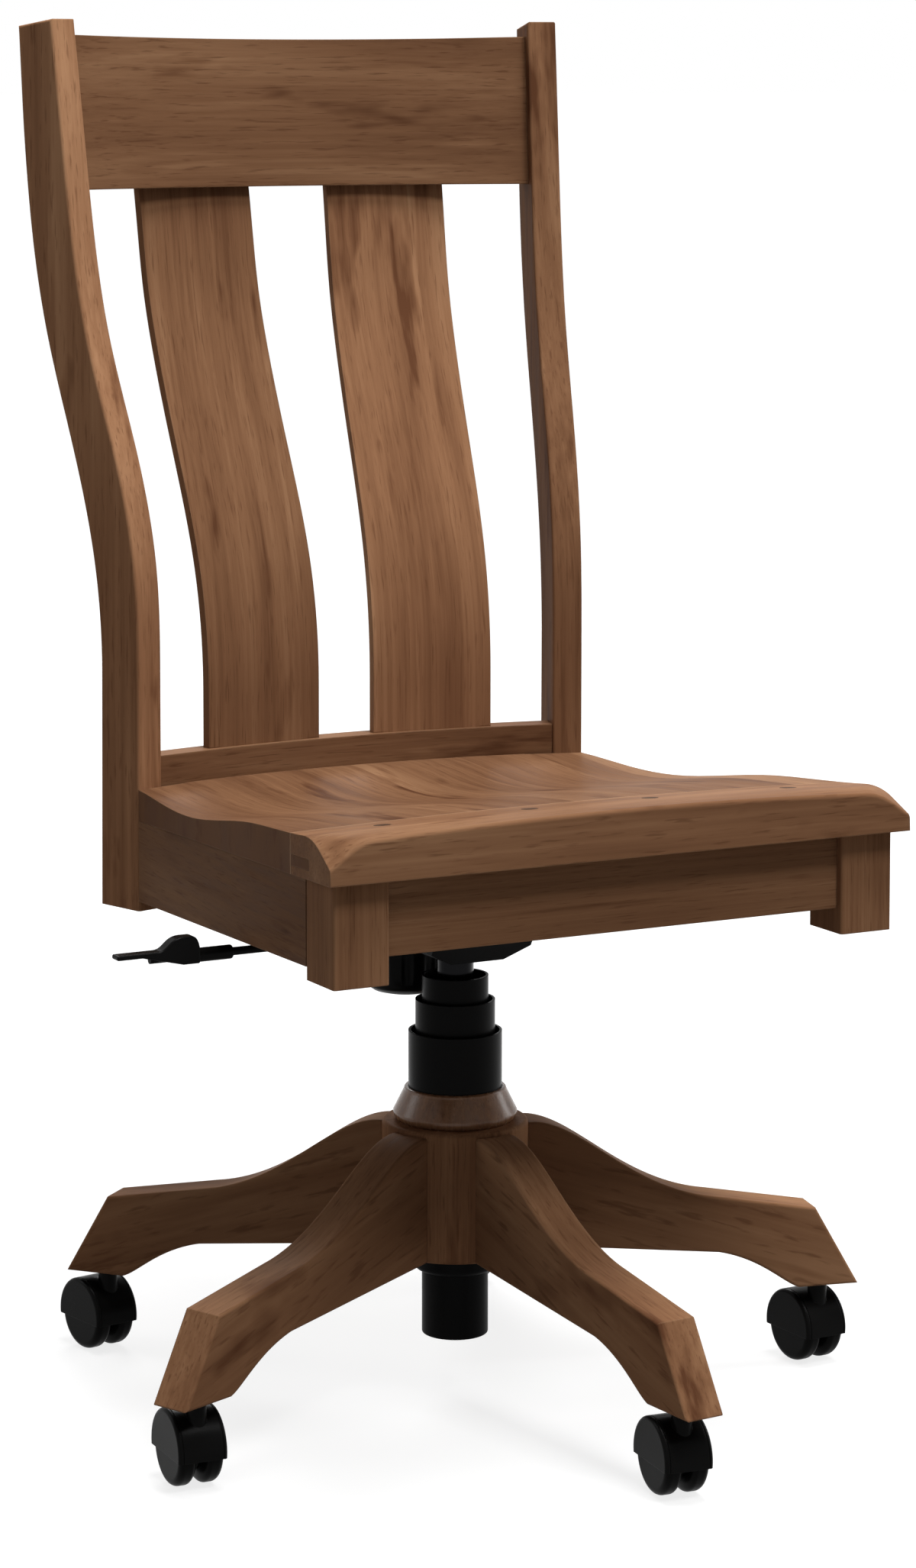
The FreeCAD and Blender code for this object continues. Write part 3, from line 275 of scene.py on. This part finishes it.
def stainedMaple(name, turn, seed, tone, depth, boarded=False, jointHighlightY=None, gloss=wood):
    material, tree, shader = newMaterial(name, gloss["ior"])
    link = tree.links.new
    plain = addNode(tree, "ShaderNodeTexCoord").outputs["Object"]
    coords = plain
    shift = tuple(seed * s for s in wood["seedShift"])
    if boarded:
        coords, boardTone = boardTones(tree, plain)

    def noise(kind):
        along, across, detail, roughness, bend = figures[kind]
        size = (along, across * depth[0], across * depth[1])
        node = addNode(tree, "ShaderNodeTexNoise", Scale=1.0, Detail=detail, Roughness=roughness,
                       Distortion=bend)
        link(stretched(tree, coords, turn, size, shift), node.inputs["Vector"])
        return node.outputs["Fac"]

    # the share of a figure that counts, times how much that figure shows
    def counted(value, count, share):
        return maths(tree, "MULTIPLY", between(tree, value, *counts[count]), wood[share])

    patch, rings, fibre, streak, mineral, pore = (noise(kind) for kind in figures)
    waves = maths(tree, "SINE", maths(tree, "MULTIPLY", rings, ringWaves), 0)
    value = maths(tree, "MULTIPLY_ADD", patch, wood["patch"])
    value.node.inputs[2].default_value = 0.5 - 0.5 * wood["patch"] - 0.5 * wood["fibre"] * 0.5
    value = maths(tree, "ADD", value, maths(tree, "MULTIPLY", fibre, wood["fibre"] * 0.5))
    value = maths(tree, "ADD", value, maths(tree, "MULTIPLY", waves, wood["figure"] * 0.5))
    value = maths(tree, "ADD", value, counted(streak, "paleStreak", "streak"))
    value = maths(tree, "SUBTRACT", value, counted(streak, "darkStreak", "streak"))
    value = maths(tree, "SUBTRACT", value, counted(mineral, "mineral", "mineral"))
    if boarded:
        value = maths(tree, "ADD", value,
                      between(tree, boardTone, 0, 1, -boards["tone"], boards["tone"]))
    ramp = addNode(tree, "ShaderNodeValToRGB")
    stops = ramp.color_ramp.elements
    low, middle, high = wood["stops"]
    stops[0].position, stops[0].color = low, (*toned(wood["dark"], tone), 1)
    stops[1].position, stops[1].color = high, (*toned(wood["light"], tone), 1)
    stops.new(middle).color = (*toned(wood["mid"], tone), 1)
    link(value, ramp.inputs["Fac"])
    pores = counted(pore, "pore", "pore")
    colour = mixColour(tree, pores, ramp.outputs["Color"], toned(wood["dark"], tone))

    # the arrises are painted paler, partly as rubbed wear and partly as a painted highlight: there
    # a rounded normal leaves the true one
    bevel = addNode(tree, "ShaderNodeBevel", samples=arris["samples"], Radius=arris["radius"])
    geometry = addNode(tree, "ShaderNodeNewGeometry")
    dot = addNode(tree, "ShaderNodeVectorMath", operation="DOT_PRODUCT")
    link(bevel.outputs["Normal"], dot.inputs[0])
    link(geometry.outputs["Normal"], dot.inputs[1])
    wearAndHighlightNoise = addNode(tree, "ShaderNodeTexNoise", Scale=arris["scale"], Detail=arris["detail"])
    link(plain, wearAndHighlightNoise.inputs["Vector"])
    edge = between(tree, dot.outputs["Value"], arris["flat"], arris["sharp"])
    wearAndHighlightMask = maths(tree, "MULTIPLY", edge, wearAndHighlightNoise.outputs["Fac"])
    colour = mixColour(tree, maths(tree, "MULTIPLY", wearAndHighlightMask, wood["wear"]), colour,
                       toned(wood["wornAndHighlight"], tone))
    # a painted highlight: a thin pale line along the joint between the seat panel and its front
    # strip
    if jointHighlightY:
        split = addNode(tree, "ShaderNodeSeparateXYZ")
        link(plain, split.inputs["Vector"])
        offset = maths(tree, "SUBTRACT", split.outputs["Y"], jointHighlightY)
        near = maths(tree, "ABSOLUTE", offset, 0)
        line = between(tree, near, jointHighlight["edge"], jointHighlight["core"], 0, jointHighlight["share"])
        colour = mixColour(tree, line, colour, wood["wornAndHighlight"])
    link(colour, shader.inputs["Base Color"])

    # satin lacquer: roughness follows the fibre a little, the bump is shallow
    satin = between(tree, fibre, *noiseMiddle, gloss["roughness"] - wood["smoother"],
                    gloss["roughness"] + wood["rougher"])
    link(satin, shader.inputs["Roughness"])
    bump = addNode(tree, "ShaderNodeBump", Strength=wood["bump"], Distance=wood["bumpDepth"])
    link(maths(tree, "SUBTRACT", fibre, pores), bump.inputs["Height"])
    link(bevel.outputs["Normal"], bump.inputs["Normal"])
    link(bump.outputs["Normal"], shader.inputs["Normal"])
    return material


# black parts: moulded plastic, wheels and powder coat differ in texture and gloss
blacks = {
    "mouldedBlack": {"colour": (0.0034, 0.0033, 0.0032), "rough": 0.28, "grain": 900.0,
                     "bump": 0.05, "ior": 1.10},
    "wheelBlack": {"colour": (0.0024, 0.0023, 0.0022), "rough": 0.32, "grain": 600.0,
                   "bump": 0.04, "ior": 1.10},
    "powderBlack": {"colour": (0.0044, 0.0044, 0.0044), "rough": 0.40, "grain": 420.0,
                    "bump": 0.16, "ior": 1.09},
}
blackHaze = {"scale": 18.0, "detail": 4.0, "paler": 1.6, "smoother": 0.05, "rougher": 0.07,
             "grainDetail": 2.0, "arris": 0.0006, "samples": 4, "bumpDepth": 0.0004}


def blackFinish(name):
    look = blacks[name]
    material, tree, shader = newMaterial(name, look["ior"])
    link = tree.links.new
    coords = addNode(tree, "ShaderNodeTexCoord").outputs["Object"]
    grain = addNode(tree, "ShaderNodeTexNoise", Scale=look["grain"],
                    Detail=blackHaze["grainDetail"])
    haze = addNode(tree, "ShaderNodeTexNoise", Scale=blackHaze["scale"], Detail=blackHaze["detail"])
    link(coords, grain.inputs["Vector"])
    link(coords, haze.inputs["Vector"])
    tint = mixColour(tree, haze.outputs["Fac"], look["colour"],
                     toned(look["colour"], blackHaze["paler"]))
    link(tint, shader.inputs["Base Color"])
    rough = between(tree, haze.outputs["Fac"], *noiseMiddle, look["rough"] - blackHaze["smoother"],
                    look["rough"] + blackHaze["rougher"])
    link(rough, shader.inputs["Roughness"])
    bevel = addNode(tree, "ShaderNodeBevel", samples=blackHaze["samples"],
                    Radius=blackHaze["arris"])
    bump = addNode(tree, "ShaderNodeBump", Strength=look["bump"], Distance=blackHaze["bumpDepth"])
    link(grain.outputs["Fac"], bump.inputs["Height"])
    link(bevel.outputs["Normal"], bump.inputs["Normal"])
    link(bump.outputs["Normal"], shader.inputs["Normal"])
    return material


# metals: the colour, how rough it is, and how fine the turned lines are
metals = {
    "darkRod": {"colour": (0.007, 0.007, 0.0075), "rough": 0.16, "lines": 1600.0},
    "brightRod": {"colour": (0.55, 0.55, 0.54), "rough": 0.12, "lines": 1600.0},
    "turnedSteel": {"colour": (0.34, 0.34, 0.35), "rough": 0.32, "lines": 700.0},
}
turning = {"ior": 1.5, "along": 14.0, "lineDetail": 3.0, "smearScale": 40.0, "smearDetail": 4.0,
           "darker": 0.82, "smoother": 0.8, "rougher": 1.3, "bump": 0.05, "bumpDepth": 0.0002}


def metalFinish(name):
    look = metals[name]
    material, tree, shader = newMaterial(name, turning["ior"])
    link = tree.links.new
    shader.inputs["Metallic"].default_value = 1.0
    coords = addNode(tree, "ShaderNodeTexCoord").outputs["Object"]
    lay = addNode(tree, "ShaderNodeMapping")
    lay.inputs["Scale"].default_value = (turning["along"], turning["along"], look["lines"])
    link(coords, lay.inputs["Vector"])
    line = addNode(tree, "ShaderNodeTexNoise", Scale=1.0, Detail=turning["lineDetail"])
    link(lay.outputs["Vector"], line.inputs["Vector"])
    smear = addNode(tree, "ShaderNodeTexNoise", Scale=turning["smearScale"],
                    Detail=turning["smearDetail"])
    link(coords, smear.inputs["Vector"])
    tint = mixColour(tree, smear.outputs["Fac"], toned(look["colour"], turning["darker"]),
                     look["colour"])
    link(tint, shader.inputs["Base Color"])
    rough = between(tree, smear.outputs["Fac"], *noiseMiddle, look["rough"] * turning["smoother"],
                    look["rough"] * turning["rougher"])
    link(rough, shader.inputs["Roughness"])
    bump = addNode(tree, "ShaderNodeBump", Strength=turning["bump"], Distance=turning["bumpDepth"])
    link(line.outputs["Fac"], bump.inputs["Height"])
    link(bump.outputs["Normal"], shader.inputs["Normal"])
    return material


nylon = {"low": (0.50, 0.49, 0.45), "high": (0.62, 0.61, 0.57), "rough": 0.45, "spread": 0.06,
         "ior": 1.35, "scale": 60.0, "detail": 4.0, "bump": 0.06, "bumpDepth": 0.0003}


def paleNylon():
    material, tree, shader = newMaterial("paleNylon", nylon["ior"])
    link = tree.links.new
    coords = addNode(tree, "ShaderNodeTexCoord").outputs["Object"]
    haze = addNode(tree, "ShaderNodeTexNoise", Scale=nylon["scale"], Detail=nylon["detail"])
    link(coords, haze.inputs["Vector"])
    tint = mixColour(tree, haze.outputs["Fac"], nylon["low"], nylon["high"])
    link(tint, shader.inputs["Base Color"])
    rough = between(tree, haze.outputs["Fac"], *noiseMiddle, nylon["rough"] - nylon["spread"],
                    nylon["rough"] + nylon["spread"])
    link(rough, shader.inputs["Roughness"])
    bump = addNode(tree, "ShaderNodeBump", Strength=nylon["bump"], Distance=nylon["bumpDepth"])
    link(haze.outputs["Fac"], bump.inputs["Height"])
    link(bump.outputs["Normal"], shader.inputs["Normal"])
    return material


def wear(names, material):
    for name in names:
        obj = nodes[name]
        obj.data.materials.clear()
        obj.data.materials.append(material)


# each wooden piece: the turn that takes its grain to X, its tone, and how fast the pattern
# changes across the grain, less where a curved face cuts through it. The tones are partly the
# pieces' own colour and partly painted light and shade, set so each piece is as bright as the
# light leaves it: the left back post, right slat, hub and collar lighter, the crest and side rails
# darker
upright = (0, 90, 0)
sideways = (0, 0, 0)
foreAft = (0, 0, -90)
woodPieces = {
    "crest_rail": (sideways, 0.72, (0.2, 0.8)),
    "lower_back_rail": (sideways, 0.80, (0.3, 1.0)),
    "back_apron": (sideways, 0.90, (0.3, 1.0)),
    "front_rail": (sideways, 0.95, (0.5, 1.0)),
    "seat_front_strip": (sideways, 0.93, (0.6, 0.6)),
    "seat_bearers": (sideways, 0.85, (1.0, 1.0)),
    "seat_panel": (foreAft, 0.80, (1.0, 0.05)),
    "side_rail_left": (foreAft, 0.72, (0.5, 1.0)),
    "side_rail_right": (foreAft, 0.72, (0.5, 1.0)),
    "back_post_left": (upright, 1.3, (0.45, 1.0)),
    "back_post_right": (upright, 0.96, (0.45, 1.0)),
    "back_slat_left": (upright, 0.92, (0.12, 1.0)),
    # a painted sheen: this slat's higher tone stands in for the glossy light on it
    "back_slat_right": (upright, 1.20, (0.12, 1.0)),
    "front_post_left": (upright, 1.06, (1.0, 1.0)),
    "front_post_right": (upright, 1.06, (1.0, 1.0)),
    "hub": (upright, 1.10, (1.0, 1.0)),
    "collar": (upright, 1.05, (1.0, 1.0)),
    "seat_pegs": (upright, 0.26, (3.0, 3.0)),
}
collarGloss = {"ior": 1.30, "roughness": 0.22}

# the legs' grain runs outwards and down; the angles are degrees
legs = {"count": 5, "first": 58.9, "step": 72.0, "slope": 18.0, "tone": 1.0, "depth": (0.8, 0.35),
        "firstSeed": 30}


def dressWood():
    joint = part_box("seat_front_strip")[1][1]
    for seed, (name, (turn, tone, depth)) in enumerate(woodPieces.items(), 1):
        boarded = name == "seat_panel"
        # the seat panel and its front strip get the painted highlight along their joint
        line = joint if name in ("seat_front_strip", "seat_panel") else None
        gloss = collarGloss if name == "collar" else wood
        wear([name], stainedMaple(name + "Maple", turn, seed, tone, depth, boarded, line, gloss))
    for number in range(legs["count"]):
        angle = legs["first"] + number * legs["step"]
        name = "leg_%d" % (number + 1)
        level = Euler((0, math.radians(-legs["slope"]), 0)).to_matrix()
        turn = (level @ Euler((0, 0, math.radians(-angle))).to_matrix()).to_euler("XYZ")
        turn = [math.degrees(a) for a in turn]
        seed = legs["firstSeed"] + number
        wear([name], stainedMaple(name + "Maple", turn, seed, legs["tone"], legs["depth"]))


def dressRest():
    casters = ["caster_%d" % n for n in range(1, legs["count"] + 1)]
    hoods = [c + "_hood" for c in casters]
    wheels = [c + side for c in casters for side in ("_wheel_left", "_wheel_right")]
    wear(["cover_lower", "cover_middle", "cover_upper", "lever_paddle", "tension_knob"] + hoods,
         blackFinish("mouldedBlack"))
    wear(wheels, blackFinish("wheelBlack"))
    wear(["tilt_housing", "seat_plate", "column_tube", "column_sleeve", "height_lever"],
         blackFinish("powderBlack"))
    wear(["gas_cylinder"], metalFinish("darkRod"))
    wear(["piston_rod"], metalFinish("brightRod"))
    wear(["rod_clip", "thrust_bearing", "tilt_pin", "tension_bolt", "spring_cup",
          "tension_spring", "caster_sockets", "caster_stems"], metalFinish("turnedSteel"))
    wear(["guide_bush", "release_button"], paleNylon())


# the hand grip under the tension knob: a fluted barrel with a domed foot, turned by the knob;
# each ring is a height and its share of the radius, and the flutes lie between the first three
grip = {"axis": (0.0, 0.080), "top": 0.334, "radius": 0.0345, "flutes": 12, "edgesPerFlute": 10,
        "edgesDrawnIn": 4, "fluteDepth": 0.955, "fluteFoot": 0.0001, "fluteHead": 0.002,
        "softEdge": 0.0006, "softSegments": 2, "softAngle": 25, "smoothAngle": 40,
        "rings": ((0.330, 1.0), (0.318, 1.0), (0.309, 1.0), (0.3025, 0.96), (0.2978, 0.88),
                  (0.2945, 0.74), (0.2925, 0.52), (0.2914, 0.26), (0.2911, 0.06))}


def makeGrip():
    bpy.ops.object.select_all(action="DESELECT")
    x, y = grip["axis"]
    sides = grip["flutes"] * grip["edgesPerFlute"]
    bpy.ops.mesh.primitive_circle_add(vertices=sides, radius=grip["radius"], fill_type="NGON",
                                      location=(x, y, grip["top"]))
    obj = bpy.context.object
    obj.name = "tensionGrip"
    bpy.ops.object.transform_apply(location=True, rotation=False, scale=False)
    bpy.ops.object.mode_set(mode="EDIT")
    bpy.ops.mesh.select_all(action="SELECT")
    height, share = grip["top"], 1.0
    for nextHeight, nextShare in grip["rings"]:
        bpy.ops.mesh.extrude_region_move(
            TRANSFORM_OT_translate={"value": (0, 0, nextHeight - height)})
        factor = nextShare / share
        bpy.ops.transform.resize(value=(factor, factor, 1), center_override=(x, y, nextHeight))
        height, share = nextHeight, nextShare
    bpy.ops.mesh.select_all(action="DESELECT")
    bpy.ops.object.mode_set(mode="OBJECT")
    # the flutes: a run of edges in every flute's share of the barrel is drawn in
    low = grip["rings"][2][0] - grip["fluteFoot"]
    high = grip["rings"][0][0] - grip["fluteHead"]
    for vertex in obj.data.vertices:
        turn = math.atan2(vertex.co.y - y, vertex.co.x - x) / (2 * math.pi) * sides
        drawnIn = round(turn) % grip["edgesPerFlute"] < grip["edgesDrawnIn"]
        vertex.select = low < vertex.co.z < high and drawnIn
    bpy.ops.object.mode_set(mode="EDIT")
    depth = grip["fluteDepth"]
    bpy.ops.transform.resize(value=(depth, depth, 1), center_override=(x, y, low))
    bpy.ops.mesh.select_all(action="SELECT")
    bpy.ops.mesh.normals_make_consistent(inside=False)
    bpy.ops.object.mode_set(mode="OBJECT")
    bevel = obj.modifiers.new("softEdges", "BEVEL")
    bevel.width = grip["softEdge"]
    bevel.segments = grip["softSegments"]
    bevel.limit_method = "ANGLE"
    bevel.angle_limit = math.radians(grip["softAngle"])
    bpy.ops.object.modifier_apply(modifier=bevel.name)
    bpy.ops.object.shade_smooth_by_angle(angle=math.radians(grip["smoothAngle"]))
    obj.data.materials.append(bpy.data.materials["mouldedBlack"])
    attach(obj, "knob")


makeCamera()
makeWorld()
makeLamps()
makeFloor()
print("studio ready")
dressWood()
dressRest()
print("materials on every piece")
makeGrip()
print("tension grip made")
bpy.context.scene.view_settings.view_transform = "Standard"
